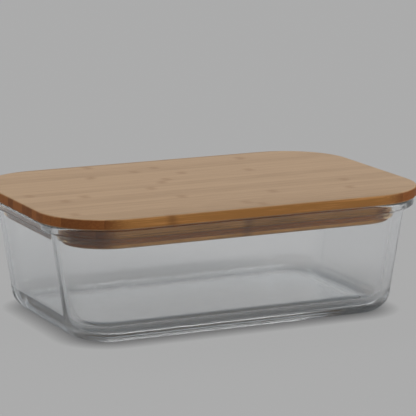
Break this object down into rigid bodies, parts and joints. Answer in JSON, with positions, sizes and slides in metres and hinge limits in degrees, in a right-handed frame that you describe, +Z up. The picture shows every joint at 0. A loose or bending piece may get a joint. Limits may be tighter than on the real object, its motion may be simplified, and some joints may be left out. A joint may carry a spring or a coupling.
{
  "type": "glass lunch box",
  "caption": "Rectangular pressed-glass lunch box with drafted walls and a rim, closed by a laminated bamboo plug lid with a silicone lip seal.",
  "frame": {"origin": "centre of the footprint, on the table under the glass foot", "axes": "+X along the long side, +Y towards the back, +Z up through the lid"},
  "size_m": [0.21, 0.142, 0.067],
  "materials": {
    "glass": "fire-polished pressed glass, clear",
    "silicone": "translucent food-grade silicone",
    "bamboo": "sanded and oiled laminated bamboo"
  },
  "bodies": {
    "container": {"glass_container": "glass"},
    "lid": {"lid_lamella_01": "bamboo", "lid_lamella_02": "bamboo", "lid_lamella_03": "bamboo", "lid_lamella_04": "bamboo", "lid_lamella_05": "bamboo", "lid_lamella_06": "bamboo", "lid_lamella_07": "bamboo", "lid_lamella_08": "bamboo", "lid_lamella_09": "bamboo", "lid_lamella_10": "bamboo", "lid_lamella_11": "bamboo", "lid_lamella_12": "bamboo", "lid_lamella_13": "bamboo", "lid_lamella_14": "bamboo", "lid_lamella_15": "bamboo", "lid_lamella_16": "bamboo", "lid_lamella_17": "bamboo", "lid_lamella_18": "bamboo", "lid_lamella_19": "bamboo", "lid_lamella_20": "bamboo", "lid_lamella_21": "bamboo", "lid_lamella_22": "bamboo", "seal_ring": "silicone"}
  },
  "joints": [
    {"name": "lid_lift", "type": "slide", "parent": "container", "child": "lid", "axis": [0, 0, 1], "range_m": [0, 0.06]}
  ]
}
